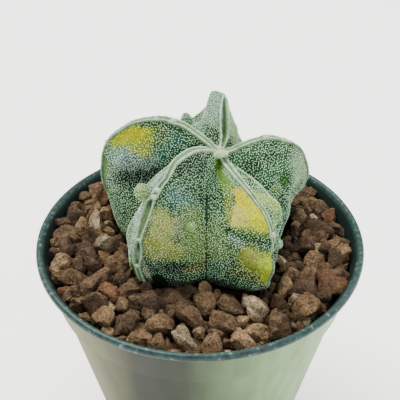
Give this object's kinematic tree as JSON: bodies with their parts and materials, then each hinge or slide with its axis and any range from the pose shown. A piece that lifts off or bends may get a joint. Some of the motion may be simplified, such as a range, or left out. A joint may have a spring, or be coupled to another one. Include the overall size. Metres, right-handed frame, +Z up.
{
  "type": "potted star cactus",
  "caption": "Low ribbed star cactus with felted crests, grown in coarse lava granules in a round tapered plastic nursery pot.",
  "frame": {"origin": "middle of the pot's foot, on the plane it stands on", "axes": "+Z up, -Y towards the picture's viewer"},
  "size_m": [0.075, 0.075, 0.0876],
  "materials": {
    "petrol_green_plastic": "moulded, satin",
    "lava_granules": "rough broken lava",
    "flecked_green_skin": "matt skin with woolly flecks",
    "cream_wool": "felted wool"
  },
  "bodies": {
    "root": {"pot": "petrol_green_plastic", "lava_granules": "lava_granules", "stem": "flecked_green_skin", "crest_felt": "cream_wool"}
  },
  "joints": []
}
